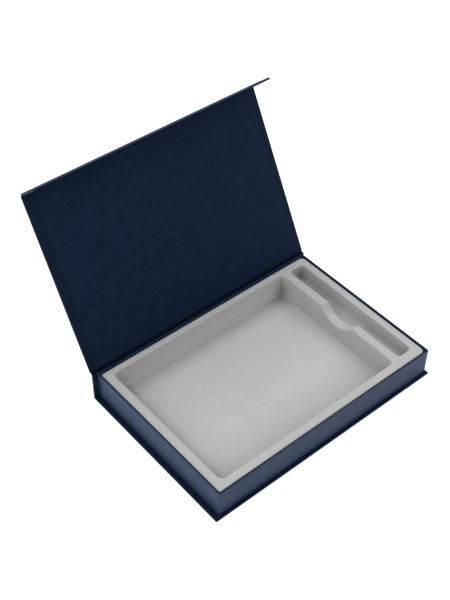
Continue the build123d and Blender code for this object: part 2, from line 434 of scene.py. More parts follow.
# flap paper: the case paper with a pale lavender tone at the attribute, a painted sheen on the flap's free edge
M_FLAP_SHEEN = paper("flap_paper_sheen", (0.0024, 0.0062, 0.0140), (0.0034, 0.0082, 0.0185), (0.0050, 0.0112, 0.0245), rough=(0.56, 0.68), wear_and_light_tone=(0.095, 0.118, 0.235), wear_and_light_amt=0.80, wear_and_light_min=0.50, spec=0.25, sheen=0.20)
M_FLOCK = flock("grey_flock", (0.465, 0.465, 0.465), (0.615, 0.615, 0.613))
M_BOARD = greyboard("grey_board")
M_KRAFT = kraft("kraft_stay")
M_STEEL = metal("steel_disc", (0.50, 0.50, 0.51), 0.35)
M_MAGNET = metal("magnet_plating", (0.62, 0.61, 0.60), 0.18)


def dress(ob, mat, body=None, replaces=()):
    ob.data.materials.clear()
    ob.data.materials.append(mat)
    if replaces:
        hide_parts(*replaces)
    if body:
        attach(ob, body)
    return ob


# ------------------------------------------------------------------ case panels
bl, bh = extent("base_wrap")
base_cover = panel("cover_base", (bl[0], bl[1], bl[2]), (bh[0], bh[1], bh[2]), r=0.62, pitch=6.0)
dress(base_cover, M_CASE, "tray", ("base_wrap",))
base_core = panel("board_base", (bl[0] + 0.4, bl[1] + 0.4, bl[2] + 0.3), (bh[0] - 0.4, bh[1] - 0.4, bh[2] - 0.3), r=0.35, pitch=20.0, n=2)
dress(base_core, M_BOARD, "tray", ("base_board",))

SY0, SY1 = 180.6, 183.0
sl, sh = extent("spine_board")
SZ0, SZ1 = sl[2], sh[2]
spine_cover = panel("cover_spine_panel", (-W2, SY0 + 0.12, SZ0), (W2, SY1, SZ1 + 0.05), r=0.85, pitch=6.0)
spine_core = panel("board_spine", (-W2 + 0.5, SY0 + 0.55, SZ0 + 0.6), (W2 - 0.5, SY1 - 0.3, SZ1 - 0.6), r=0.3, pitch=20.0, n=2)
dress(spine_core, M_BOARD, "tray", ("spine_board",))
# paper carried round the bottom corner, from under the base panel to the back of the spine
fold = [(179.6, 0.06), (180.6, 0.03), (181.6, 0.02), (182.4, 0.10), (182.85, 0.42), (182.98, 0.9), (182.98, 2.2), (182.5, 2.2), (182.3, 1.0), (181.6, 0.75), (180.4, 0.75), (179.6, 0.9)]
base_fold = strip("cover_base_fold", fold, -W2 + 0.25, W2 - 0.25)
spine_piece = join("cover_spine", spine_cover, base_fold)
sharp_by_angle(spine_piece, 50)
dress(spine_piece, M_CASE, "tray", ("spine_wrap", "spine_liner"))

LY1, LY0 = HY - 0.8, FY + 0.8
LZ = HZ


lid_cover = panel("cover_lid", (-W2, LY0, LZ), (W2, LY1, LZ + PANEL), r=0.62, pitch=5.0, place=on_lid)
dress(lid_cover, M_CASE, "lid", ("lid_wrap",))
lid_core = panel("board_lid", (-W2 + 0.4, LY0 + 0.4, LZ + 0.3), (W2 - 0.4, LY1 - 0.4, LZ + PANEL - 0.3), r=0.35, pitch=20.0, place=on_lid, n=2)
dress(lid_core, M_BOARD, "lid", ("lid_board",))

FLAP_LEN = 31.6
PY1, PY0 = FY - 0.8, FY - FLAP_LEN
# the flap's free edge, on its outer side, is painted pale lavender: a painted sheen for the light that edge catches
flap_cover = panel("cover_flap", (-W2, PY0, LZ), (W2, PY1, LZ + PANEL), r=0.62, pitch=5.0, place=on_flap,
                   wear_and_light_at=lambda p: near(p[1] - PY0, 0.75) * (1.0 if p[2] > LZ + PANEL * 0.6 else 0.0))
dress(flap_cover, M_FLAP_SHEEN, "flap", ("flap_wrap",))
flap_core = panel("board_flap", (-W2 + 0.4, PY0 + 0.4, LZ + 0.3), (W2 - 0.4, PY1 - 0.4, LZ + PANEL - 0.3), r=0.35, pitch=20.0, place=on_flap, n=2)
dress(flap_core, M_BOARD, "flap", ("flap_board",))


# ------------------------------------------------------------------ linings
def sheet_mesh(name, corners, t, z_face, place, pitch=3.0, seed=1, lift=0.05, curl=0.06):
    """A thin paper sheet lying on the face z = z_face, on its -Z side, with four given corners
    [(x, y) back left, back right, front right, front left] and a very slight cockle."""
    bl_, br_, fr_, fl_ = [Vector(c) for c in corners]
    nx = int(round((br_ - bl_).length / pitch))
    ny = int(round((fl_ - bl_).length / pitch))
    top, bot, wear_and_light = [], [], []
    for j in range(ny + 1):
        v = j / ny
        for i in range(nx + 1):
            u = i / nx
            p = (bl_ * (1 - u) + br_ * u) * (1 - v) + (fl_ * (1 - u) + fr_ * u) * v
            du = min(u * (br_ - bl_).length, (1 - u) * (br_ - bl_).length)
            dv = min(v * (fl_ - bl_).length, (1 - v) * (fl_ - bl_).length)
            d = min(du, dv)
            cockle = lift * (0.5 + 0.5 * wave((p[0], p[1], 0), 34.0, seed)) * min(1.0, d / 8.0)
            edge = curl * max(0.0, 1 - d / 2.0) * (0.5 + 0.5 * wave((p[0], p[1], 0), 22.0, seed + 4))
            h = t + cockle + edge
            bot.append((p[0], p[1], z_face))
            top.append((p[0], p[1], z_face - h))
            wear_and_light.append(max(0.0, 1 - d / 1.2))
    verts = top + bot
    n = len(top)
    faces = []
    for j in range(ny):
        for i in range(nx):
            a = j * (nx + 1) + i
            b, c, e = a + 1, a + nx + 2, a + nx + 1
            faces.append((a, b, c, e))
            faces.append((n + a, n + e, n + c, n + b))
    rim = [i for i in range(nx + 1)] + [j * (nx + 1) + nx for j in range(1, ny + 1)]
    rim += [ny * (nx + 1) + i for i in range(nx - 1, -1, -1)] + [j * (nx + 1) for j in range(ny - 1, 0, -1)]
    for k in range(len(rim)):
        a, b = rim[k], rim[(k + 1) % len(rim)]
        faces.append((b, a, n + a, n + b))
    ob = make(name, verts, faces, place, wear_and_light=wear_and_light + wear_and_light)
    return sharp_by_angle(ob, 40)


# laid by hand: the left edge runs in slightly towards the top
lid_lining = sheet_mesh(
    "lining_lid",
    [(-126.2, LY1 - 0.9), (128.6, LY1 - 0.9), (127.2, LY0 + 0.9), (-121.8, LY0 + 0.9)],
    0.16, LZ + 0.02, on_lid, seed=2,
)
dress(lid_lining, M_LINING, "lid", ("lid_liner",))
# the flap's lining is given the darker case paper, not the lining paper: painted shade for the flap's underside in
# shadow
flap_lining = sheet_mesh(
    "lining_flap",
    [(-121.8, PY1 - 0.7), (127.0, PY1 - 0.7), (127.0, PY0 + 3.0), (-121.8, PY0 + 3.0)],
    0.16, LZ + 0.02, on_flap, seed=7,
)
dress(flap_lining, M_CASE, "flap", ("flap_liner",))


# ------------------------------------------------------------------ folds
def lid_pt(s, h):
    """Point in the rest pose: s along the lid from its fold line, h outward from its inner face."""
    p = on_lid(Vector((0, HY - s, HZ + h)))
    return (p[1], p[2])


def lid_pt_flap(s, h):
    p = on_flap(Vector((0, FY - s, HZ + h)))
    return (p[1], p[2])


def arc(a, b, sag, n):
    """Points from a to b, bulging by sag to the left of the way from a to b."""
    a, b = Vector(a), Vector(b)
    d = b - a
    nrm = Vector((-d[1], d[0])).normalized()
    out = []
    for k in range(1, n):
        t = k / n
        q = a + d * t + nrm * (sag * 4 * t * (1 - t))
        out.append((q[0], q[1]))
    return out


TZ = SZ1 + 0.2
inner = [(181.0, TZ - 1.3), (181.05, TZ - 0.45), (181.35, TZ - 0.08), (181.9, TZ + 0.02), (182.4, TZ - 0.02), (182.85, TZ - 0.12), (183.25, TZ + 0.02), (183.65, TZ + 0.35)]
inner += [lid_pt(0.62, 0.95), lid_pt(0.80, 0.75), lid_pt(1.6, 0.75)]
outer = [lid_pt(2.2, PANEL - 0.35), lid_pt(1.2, PANEL - 0.10)]
q_a, q_b = outer[-1], (182.93, TZ - 0.7)
outer += arc(q_a, q_b, 0.28, 6) + [q_b, (182.7, TZ - 1.6), (182.2, TZ - 1.9), (181.2, TZ - 1.9)]
# the inner face of this fold carries painted shade: where the attribute is 1 the fold paper turns near-black, standing
# in for the shadow in the crease
hinge_fold = strip("fold_lid_hinge", inner + outer, -W2 + 0.5, W2 - 0.5, pitch=4.0, jitter=0.03, seed=11,
                   wear_and_light=[1.0] * 4 + [0.3, 0.0, 0.3] + [1.0] * (len(inner) - 7) + [0.0] * len(outer))
sharp_by_angle(hinge_fold, 70)
dress(hinge_fold, M_FOLD_SHADE, None, ("spine_fold_paper", "lid_fold_paper"))
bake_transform(hinge_fold)

# lid-to-flap fold: band across the gap between the two board edges. Its inner face carries painted shade: the fold
# paper turns near-black there.
fi_a, fi_b = lid_pt(LID_LEN - 0.9, 0.10), lid_pt_flap(0.9, 0.10)
f_in = [lid_pt(LID_LEN - 2.2, 0.4), fi_a] + arc(fi_a, fi_b, 0.0, 4) + [fi_b, lid_pt_flap(2.2, 0.4)]
fo_a, fo_b = lid_pt_flap(1.2, PANEL - 0.10), lid_pt(LID_LEN - 1.2, PANEL - 0.10)
f_out = [lid_pt_flap(2.2, PANEL - 0.35), fo_a] + arc(fo_a, fo_b, 0.35, 8) + [fo_b, lid_pt(LID_LEN - 2.2, PANEL - 0.35)]
flap_fold = strip("fold_flap_hinge", f_in + f_out, -W2 + 0.4, W2 - 0.4, pitch=4.0, jitter=0.03, seed=13,
                  wear_and_light=[1.0] * len(f_in) + [0.0] * len(f_out))
sharp_by_angle(flap_fold, 70)
dress(flap_fold, M_FOLD_SHADE, None, ("lid_front_fold_paper", "flap_fold_paper"))
B = on_lid(Vector((0, FY, HZ)))
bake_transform(flap_fold)

# ------------------------------------------------------------------ tray
tl, th = extent("tray_wrap")
RIM = th[2]
WT = 1.9                       # covered wall


def rounded_loop(x0, x1, y0, y1, r, seg, pitch):
    """Counter-clockwise rounded rectangle as [(x, y, nx, ny)], n pointing outward."""
    pts = []
    corners = [(x1 - r, y0 + r, -90), (x1 - r, y1 - r, 0), (x0 + r, y1 - r, 90), (x0 + r, y0 + r, 180)]
    arcs = []
    for cx, cy, a0 in corners:
        arcs.append([(cx + r * math.cos(math.radians(a0 + 90 * k / seg)), cy + r * math.sin(math.radians(a0 + 90 * k / seg)),
                      math.cos(math.radians(a0 + 90 * k / seg)), math.sin(math.radians(a0 + 90 * k / seg))) for k in range(seg + 1)])
    for k in range(4):
        pts += arcs[k]
        a, b = arcs[k][-1], arcs[(k + 1) % 4][0]
        d = math.hypot(b[0] - a[0], b[1] - a[1])
        m = max(1, int(round(d / pitch)))
        for i in range(1, m):
            t = i / m
            pts.append((a[0] + (b[0] - a[0]) * t, a[1] + (b[1] - a[1]) * t, a[2], a[3]))
    return pts


def tray_bow(p):
    """The front wall is a little slack between its corners."""
    cx, hx = (tl[0] + th[0]) / 2, (th[0] - tl[0]) / 2
    cy, hy = (tl[1] + th[1]) / 2, (th[1] - tl[1]) / 2
    u, v = (p[0] - cx) / hx, (p[1] - cy) / hy
    up = max(0.0, min(1.0, (p[2] - tl[2]) / (th[2] - tl[2])))
    y = p[1]
    if v < -0.9:
        y += 0.10 * (1 - u * u) * up * (1 if abs(u) < 1 else 0)
    return Vector((p[0], y, p[2]))


def tray_shell():
    """Outer skin, rim and inner skin of the tray's covering, as one closed band of loops."""
    loops = []
    r_out = 0.66
    rr = 0.62
    prof = [(0.0, tl[2]), (0.0, tl[2] + 0.5)]
    n = 7
    prof += [(0.0, tl[2] + 0.5 + (RIM - rr - tl[2] - 0.5) * k / n) for k in range(1, n + 1)]
    prof += [(-rr * (1 - math.cos(math.radians(a))), RIM - rr + rr * math.sin(math.radians(a))) for a in (22.5, 45, 67.5, 90)]
    prof += [(-(WT - rr) - rr * math.sin(math.radians(a)), RIM - rr + rr * math.cos(math.radians(a))) for a in (0, 22.5, 45, 67.5, 90)]
    prof += [(-WT, RIM - rr - (RIM - rr - 18.0) * k / 4) for k in range(1, 5)]
    prof += [(-WT + 0.2, 17.9), (-0.35, 17.9 - 4), (-0.35, tl[2])]
    base = rounded_loop(tl[0], th[0], tl[1], th[1], r_out, 5, 6.0)
    verts, faces, wear_and_light = [], [], []
    m = len(base)
    for off, z in prof:
        for x, y, nx, ny in base:
            if abs(nx) > 1e-6 and abs(ny) > 1e-6:
                sx, sy = (1 if nx > 0 else -1), (1 if ny > 0 else -1)
                rc = max(0.08, r_out + off)
                ex = (th[0] if sx > 0 else tl[0]) + sx * off - sx * rc
                ey = (th[1] if sy > 0 else tl[1]) + sy * off - sy * rc
                p = Vector((ex + nx * rc, ey + ny * rc, z))
            else:
                # straight runs start and end where the corner does
                rc = max(0.08, r_out + off)
                gx = (th[0] - tl[0]) / 2 + off - rc
                gy = (th[1] - tl[1]) / 2 + off - rc
                mx, my = (th[0] + tl[0]) / 2, (th[1] + tl[1]) / 2
                px, py = x + nx * off, y + ny * off
                if abs(nx) > 0.5:
                    py = my + (y - my) / ((th[1] - tl[1]) / 2 - r_out) * gy
                else:
                    px = mx + (x - mx) / ((th[0] - tl[0]) / 2 - r_out) * gx
                p = Vector((px, py, z))
            verts.append(tray_bow(p))
            rim_d = math.hypot(max(0.0, -off - 0.0), RIM - z) if off > -WT * 0.6 else 9.0
            corner = min(math.hypot(x - cx_, y - cy_) for cx_ in (tl[0], th[0]) for cy_ in (tl[1], th[1]))
            w = max(0.0, 1 - abs(rim_d - 0.3) / 1.0)
            w = max(w, max(0.0, 1 - corner / 1.1) * 0.8)
            wear_and_light.append(w)
    k = len(prof)
    for a in range(k):
        b = (a + 1) % k
        for i in range(m):
            j = (i + 1) % m
            faces.append((a * m + i, a * m + j, b * m + j, b * m + i))
    ob = make("cover_tray", verts, faces, on_tray, wear_and_light=wear_and_light)
    return sharp_by_angle(ob, 60)


tray_cover = tray_shell()


def overlap_seams():
    """Where the side papers are carried round the two front corners and pasted over the front paper; the back corners
    get none.
    """
    obs = []
    z0, z1, t = tl[2] + 0.25, RIM - 0.75, 0.05
    for k, (cx, sx) in enumerate(((tl[0], 1), (th[0], -1))):
        for m, (cy, sy) in enumerate(((tl[1], 1), (th[1], -1))):
            verts, faces = [], []
            nz, w0, w1 = 12, 0.68, 11.5
            xs = [w0, w0 + 2, w0 + 5, w0 + 8, w1 - 0.3, w1]
            for j in range(nz + 1):
                z = z0 + (z1 - z0) * j / nz
                for i, w in enumerate(xs):
                    edge = 0.0 if i in (0,) else t
                    wob = 0.15 * wave((k * 50, m * 50, z), 7.0, 21) if i >= 4 else 0.0
                    q = tray_bow(Vector((cx + sx * (w + wob), cy, z)))
                    lift = edge if i < 5 else t * 0.75
                    verts.append((q[0], q[1] - sy * lift, q[2]))
                for i, w in enumerate(xs):
                    wob = 0.15 * wave((k * 50, m * 50, z), 7.0, 21) if i >= 4 else 0.0
                    q = tray_bow(Vector((cx + sx * (w + wob), cy, z)))
                    verts.append((q[0], q[1] + sy * 0.05, q[2]))
            row = 2 * len(xs)
            n = len(xs)
            for j in range(nz):
                a, b = j * row, (j + 1) * row
                for i in range(n - 1):
                    faces.append((a + i, a + i + 1, b + i + 1, b + i))
                    faces.append((a + n + i + 1, a + n + i, b + n + i, b + n + i + 1))
                faces.append((a + n - 1, a + 2 * n - 1, b + 2 * n - 1, b + n - 1))
                faces.append((a + n, a, b, b + n))
            for a, flip in ((0, True), (nz * row, False)):
                ring = [a + i for i in range(n)] + [a + n + i for i in range(n - 1, -1, -1)]
                faces.append(tuple(ring if not flip else ring[::-1]))
            if sy < 0:
                continue
            obs.append(make("seam%d%d" % (k, m), verts, faces, on_tray))
    ob = join("cover_tray_overlaps", *obs)
    return sharp_by_angle(ob, 30)


def corner_stays():
    """Thin kraft strips round the tray's four upright corners, under the covering."""
    obs = []
    z0, z1 = tl[2] + 1.0, RIM - 1.4
    cx_, cy_ = (tl[0] + th[0]) / 2, (tl[1] + th[1]) / 2
    for sx in (-1, 1):
        for sy in (-1, 1):
            hx, hy = (th[0] - tl[0]) / 2 - 0.30, (th[1] - tl[1]) / 2 - 0.34
            r, length, t = 0.62, 12.0, 0.12
            path = [(hx - length, hy, 0, 1), (hx - length / 2, hy, 0, 1), (hx - r, hy, 0, 1)]
            path += [(hx - r + r * math.sin(math.radians(a)), hy - r + r * math.cos(math.radians(a)), math.sin(math.radians(a)), math.cos(math.radians(a))) for a in (22.5, 45, 67.5)]
            path += [(hx, hy - r, 1, 0), (hx, hy - length / 2, 1, 0), (hx, hy - length, 1, 0)]
            verts, faces, m, nz = [], [], len(path), 8
            for k in range(nz + 1):
                z = z0 + (z1 - z0) * k / nz
                wob = 0.12 * wave((sx * 40, sy * 40, z), 5.0, 71)
                for i, (x, y, nx, ny) in enumerate(path):
                    ex = wob if i in (0, m - 1) else 0.0
                    verts.append((cx_ + sx * (x - (ex if i == 0 else 0)), cy_ + sy * (y - (ex if i == m - 1 else 0)), z))
                for i, (x, y, nx, ny) in enumerate(path):
                    verts.append((cx_ + sx * (x - nx * t), cy_ + sy * (y - ny * t), z))
            row = 2 * m
            for k in range(nz):
                a, b = k * row, (k + 1) * row
                for i in range(m - 1):
                    faces.append((a + i, a + i + 1, b + i + 1, b + i))
                    faces.append((a + m + i + 1, a + m + i, b + m + i, b + m + i + 1))
                faces.append((a + m - 1, a + 2 * m - 1, b + 2 * m - 1, b + m - 1))
                faces.append((a + m, a, b, b + m))
            for a in (0, nz * row):
                for i in range(m - 1):
                    faces.append((a + i, a + m + i, a + m + i + 1, a + i + 1))
            obs.append(make("stay", verts, faces, on_tray))
    return sharp_by_angle(join("corner_stays", *obs), 40)


dress(corner_stays(), M_KRAFT, "tray", ("tray_corner_stays",))
dress(tray_cover, M_COVER_LIT, "tray", ("tray_wrap",))
seams = overlap_seams()
dress(seams, M_COVER_LIT, "tray")

# ------------------------------------------------------------------ insert
il, ih = extent("insert_block")
pl_, ph_ = extent("insert_pad")
TX = 1.5
TOP = ih[2]
FLOOR = ph_[2]
POCKET = (-119.3 + TX, 94.5 + TX, 14.4, 171.9)
SLOT = (103.7 + TX, 120.8 + TX, 16.2, 169.9)
SLOT_FLOOR = 16.2
DRAFT = math.tan(math.radians(3.0))
NOTCH_Y, NOTCH_W, NOTCH_DEEP = 92.0, 42.0, 11.0
NR = ((NOTCH_W / 2) ** 2 + NOTCH_DEEP ** 2) / (2 * NOTCH_DEEP)


def top_height(x, y):
    """Height of the insert's top face: flat, with the finger scoop across the rib."""
    h = TOP
    if POCKET[1] - 4 < x < SLOT[0] + 4:
        d = abs(y - NOTCH_Y)
        if d < NOTCH_W / 2:
            h = TOP - NOTCH_DEEP + NR - math.sqrt(NR * NR - d * d)
    h += 0.10 * wave((x, y, 0), 55.0, 31) + 0.03 * wave((x, y, 0), 9.0, 33)
    return h


def inside(c, poly):
    """Whether point c lies inside the closed polygon."""
    odd, n = False, len(poly)
    for i in range(n):
        (x1, y1), (x2, y2) = poly[i], poly[(i + 1) % n]
        if (y1 > c[1]) != (y2 > c[1]) and c[0] < (x2 - x1) * (c[1] - y1) / (y2 - y1) + x1:
            odd = not odd
    return odd


def flock_insert():
    rho = 0.75
    steps = 4
    fine_y = [NOTCH_Y - NOTCH_W / 2 + NOTCH_W * k / 40 for k in range(41)]
    verts, faces, wear_and_light = [], [], []

    def add(p, w=PILE_UNSHADED):
        verts.append(Vector(p))
        wear_and_light.append(w)
        return len(verts) - 1

    def painted_wall_shade(loop, x, y, nx, ny, t):
        """Painted shade on a well's wall, t from 0 at the top to 1 at the foot: darker towards the foot, most on the
        slot's walls and the pocket's right wall, and darkest into the tucked corners.
        """
        if id(loop) not in wells:
            return PILE_UNSHADED
        full = 0.50 if loop is slot else (0.56 if nx > 0.7 else 0.86)
        for (sx, sy), d in tucks[id(loop)].items():
            rect = wells[id(loop)][0]
            gap = math.hypot(x - (rect[1] if sx > 0 else rect[0]), y - (rect[3] if sy > 0 else rect[2]))
            full -= 0.60 * min(1.0, d / 1.3) * near(gap, 19.0 if loop is pocket else 13.0)
        return max(0.0, PILE_UNSHADED + (full - PILE_UNSHADED) * min(1.0, 1.5 * t))

    def insert_cuts(loop, x_side):
        out = []
        for i, p in enumerate(loop):
            q = loop[(i + 1) % len(loop)]
            out.append(p)
            if abs(p[0] - x_side) < 1e-6 and abs(q[0] - x_side) < 1e-6:
                lo_, hi_ = min(p[1], q[1]), max(p[1], q[1])
                ys = [y for y in fine_y if lo_ + 1e-3 < y < hi_ - 1e-3]
                if q[1] < p[1]:
                    ys = ys[::-1]
                out += [(x_side, y, p[2], p[3]) for y in ys]
        return out

    pocket = insert_cuts(rounded_loop(*POCKET, 5.0, 10, 3.0), POCKET[1])
    slot = insert_cuts(rounded_loop(*SLOT, 4.2, 10, 3.0), SLOT[0])

    def corner_at(rect, r0, x, y, nx, ny, off, r1):
        """A loop point moved by off along its normal, its corner rounding made r1 (the argument r0 is not used).
        Only arc points, with both parts of the normal, change."""
        if abs(nx) < 1e-6 or abs(ny) < 1e-6:
            return x + nx * off, y + ny * off
        sx, sy = (1 if nx > 0 else -1), (1 if ny > 0 else -1)
        ex = (rect[1] if sx > 0 else rect[0]) + sx * off
        ey = (rect[3] if sy > 0 else rect[2]) + sy * off
        return ex - sx * r1 + nx * r1, ey - sy * r1 + ny * r1

    # (loop: opening, rounding at the top, rounding of the folded crease at the foot)
    wells = {id(pocket): (POCKET, 5.0, 1.6), id(slot): (SLOT, 4.2, 1.5)}
    # how deep the covering is tucked at each corner's foot: (right side, back side): millimetres
    # the tuck depths also set how much painted shade darkens the walls near each corner
    tucks = {id(pocket): {(1, 1): 1.4, (-1, 1): 0.8, (1, -1): 0.4}, id(slot): {(1, 1): 1.4, (1, -1): 1.2, (-1, 1): 0.4}}

    def tuck(loop, nx, ny, t):
        """Outward push at the middle of a corner arc: a narrow folded crease."""
        if id(loop) not in tucks or abs(nx) < 1e-6 or abs(ny) < 1e-6:
            return 0.0
        d = tucks[id(loop)].get((1 if nx > 0 else -1, 1 if ny > 0 else -1), 0.0)
        off45 = abs(math.degrees(math.atan2(abs(ny), abs(nx))) - 45.0)
        return d * t * (1.0 if off45 < 5 else (0.42 if off45 < 13 else 0.0))

    # outer outline: crisp at the left, rounder at the right, as the block sits in the tray
    def outline():
        pts = []
        x0, x1, y0, y1 = il[0], ih[0], il[1], ih[1]
        corners = [(x1, y0, 5.0, 1, -1, -90), (x1, y1, 5.0, 1, 1, 0), (x0, y1, 2.0, -1, 1, 90), (x0, y0, 2.0, -1, -1, 180)]
        arcs = []
        for cx, cy, r, sx, sy, a0 in corners:
            ox, oy = cx - sx * r, cy - sy * r
            arcs.append([(ox + r * math.cos(math.radians(a0 + 90 * k / 8)), oy + r * math.sin(math.radians(a0 + 90 * k / 8)),
                          math.cos(math.radians(a0 + 90 * k / 8)), math.sin(math.radians(a0 + 90 * k / 8))) for k in range(9)])
        for k in range(4):
            pts += arcs[k]
            a, b = arcs[k][-1], arcs[(k + 1) % 4][0]
            m = max(1, int(round(math.hypot(b[0] - a[0], b[1] - a[1]) / 3.0)))
            pts += [(a[0] + (b[0] - a[0]) * i / m, a[1] + (b[1] - a[1]) * i / m, a[2], a[3]) for i in range(1, m)]
        return pts

    outer_loop = outline()

    # wall loops. sign +1: the wall faces the loop's outward normal (block outline); -1: it faces inward (wells)
    def wall(loop, sign, bottom, draft, closing):
        """Rings from the edge of the flat top down to the bottom. Returns the first ring's vertex ids."""
        rings = []
        heights = [top_height(x - sign * nx * rho * 0, y) for x, y, nx, ny in loop]
        for k in range(steps + 1):
            a = math.pi / 2 * k / steps
            ring = []
            for (x, y, nx, ny), h in zip(loop, heights):
                inset = rho * (1 - math.sin(a))
                depth = rho * (1 - math.cos(a))
                g = (TOP - h) * draft
                ox = sign * (g - inset)
                ring.append(add((x + nx * ox, y + ny * ox, h - depth)))
            rings.append(ring)
        m = 9
        for k in range(1, m + 1):
            ring = []
            for (x, y, nx, ny), h in zip(loop, heights):
                z0 = h - rho
                z = z0 + (bottom + 1.0 - z0) * k / m
                g = (TOP - z - rho) * draft
                ox = sign * g
                soft = 0.05 * wave((x, y, z), 18.0, 41)
                if id(loop) in wells:
                    rect, r0, r1 = wells[id(loop)]
                    t = min(1.0, max(0.0, (TOP - z - 0.8) / 7.0))
                    t = t * t * (3 - 2 * t)
                    px, py = corner_at(rect, r0, x, y, nx, ny, ox + soft, (r0 + ox) * (1 - t) + r1 * t)
                    q = tuck(loop, nx, ny, 0.45 * t + 0.55 * min(1.0, (TOP - z) / (TOP - bottom)))
                    ring.append(add((px + nx * q, py + ny * q, z), painted_wall_shade(loop, x, y, nx, ny, (TOP - z) / (TOP - bottom))))
                else:
                    ring.append(add((x + nx * (ox + soft), y + ny * (ox + soft), z)))
            rings.append(ring)
        if closing == "floor":
            for k in range(1, 4):
                a = math.pi / 2 * k / 3
                ring = []
                for (x, y, nx, ny), h in zip(loop, heights):
                    g = (TOP - bottom - 1.0 - rho) * draft + (1 - math.cos(a)) * 0.6
                    rect, r0, r1 = wells[id(loop)]
                    px, py = corner_at(rect, r0, x, y, nx, ny, sign * g, r1)
                    q = tuck(loop, nx, ny, 1.0 * math.cos(a))
                    ring.append(add((px + nx * q, py + ny * q, bottom + 1.0 - math.sin(a) * 1.0), painted_wall_shade(loop, x, y, nx, ny, 1.0)))
                rings.append(ring)
        else:
            ring = []
            for (x, y, nx, ny), h in zip(loop, heights):
                g = (TOP - bottom - rho) * draft
                if id(loop) in wells:
                    rect, r0, r1 = wells[id(loop)]
                    px, py = corner_at(rect, r0, x, y, nx, ny, sign * g, r1)
                    q = tuck(loop, nx, ny, 1.0)
                    ring.append(add((px + nx * q, py + ny * q, bottom), painted_wall_shade(loop, x, y, nx, ny, 1.0)))
                else:
                    ring.append(add((x + nx * sign * g, y + ny * sign * g, bottom)))
            rings.append(ring)
        for a, b in zip(rings, rings[1:]):
            n = len(a)
            for i in range(n):
                j = (i + 1) % n
                faces.append((a[i], a[j], b[j], b[i]) if sign > 0 else (a[j], a[i], b[i], b[j]))
        return rings[0], rings[-1]

    # for the wells the loop normal points away from the well's middle, so walls face -n
    top_o, bot_o = wall(outer_loop, +1, il[2], 0.0, "open")

    def well(loop, bottom, closing):
        return wall(loop, -1, bottom, DRAFT, closing)

    top_p, bot_p = well(pocket, FLOOR, "open")
    top_s, bot_s = well(slot, SLOT_FLOOR, "floor")

    # flat top between the three rings, filled with a grid of inner points
    pts2, ids = [], []
    edges = []
    for ring in (top_o, top_p, top_s):
        start = len(pts2)
        for v in ring:
            pts2.append(Vector((verts[v][0], verts[v][1])))
            ids.append(v)
        n = len(ring)
        edges += [(start + i, start + (i + 1) % n) for i in range(n)]
    grid = []
    x = il[0] + 3
    while x < ih[0] - 2:
        y = il[1] + 3
        while y < ih[1] - 2:
            inside_p = POCKET[0] - 2 < x < POCKET[1] + 2 and POCKET[2] - 2 < y < POCKET[3] + 2
            inside_s = SLOT[0] - 2 < x < SLOT[1] + 2 and SLOT[2] - 2 < y < SLOT[3] + 2
            if not inside_p and not inside_s:
                grid.append((x, y))
            y += 4.0
        x += 4.0
    for y in fine_y:
        for x in (POCKET[1] + 2.2, (POCKET[1] + SLOT[0]) / 2, SLOT[0] - 2.2):
            grid.append((x, y))
    grid = [g for g in grid if not (POCKET[1] < g[0] < SLOT[0] and abs(g[1] - NOTCH_Y) < NOTCH_W / 2 + 1.5 and g[1] not in fine_y)]
    for x, y in grid:
        pts2.append(Vector((x, y)))
        ids.append(None)
    vs, es, fs, ov, oe, of = delaunay_2d_cdt(pts2, edges, [], 0, 1e-4)
    remap = []
    for i, v in enumerate(vs):
        src = ov[i][0] if ov[i] else None
        if src is not None and ids[src] is not None:
            remap.append(ids[src])
        else:
            remap.append(add((v[0], v[1], top_height(v[0], v[1]))))

    rings2 = [[(verts[v][0], verts[v][1]) for v in ring] for ring in (top_o, top_p, top_s)]
    for f in fs:
        c = sum((Vector(vs[i]) for i in f), Vector((0, 0))) / len(f)
        if not inside(c, rings2[0]) or inside(c, rings2[1]) or inside(c, rings2[2]):
            continue
        area = 0.0
        for a in range(len(f)):
            p, q = vs[f[a]], vs[f[(a + 1) % len(f)]]
            area += p[0] * q[1] - q[0] * p[1]
        f = list(f) if area > 0 else list(f)[::-1]
        faces.append(tuple(remap[i] for i in f))

    # slot floor
    n = len(bot_s)
    pts2 = [Vector((verts[v][0], verts[v][1])) for v in bot_s]
    edges = [(i, (i + 1) % n) for i in range(n)]
    ids = list(bot_s)
    y = SLOT[2] + 8
    while y < SLOT[3] - 8:
        for x in (SLOT[0] + 5, SLOT[0] + 8.5, SLOT[0] + 12):
            pts2.append(Vector((x, y)))
            ids.append(None)
        y += 4.0
    vs, es, fs, ov, oe, of = delaunay_2d_cdt(pts2, edges, [], 1, 1e-4)
    remap = []
    for i, v in enumerate(vs):
        src = ov[i][0] if ov[i] else None
        if src is not None and ids[src] is not None:
            remap.append(ids[src])
        else:
            # slot floor: painted shade, darker towards both ends of the slot
            remap.append(add((v[0], v[1], SLOT_FLOOR + 0.04 * wave((v[0], v[1], 0), 12.0, 51)), 0.56 - 0.35 * near(SLOT[3] - v[1], 16.0) - 0.25 * near(v[1] - SLOT[2], 10.0)))
    for f in fs:
        area = 0.0
        for a in range(len(f)):
            p, q = vs[f[a]], vs[f[(a + 1) % len(f)]]
            area += p[0] * q[1] - q[0] * p[1]
        f = list(f) if area > 0 else list(f)[::-1]
        faces.append(tuple(remap[i] for i in f))

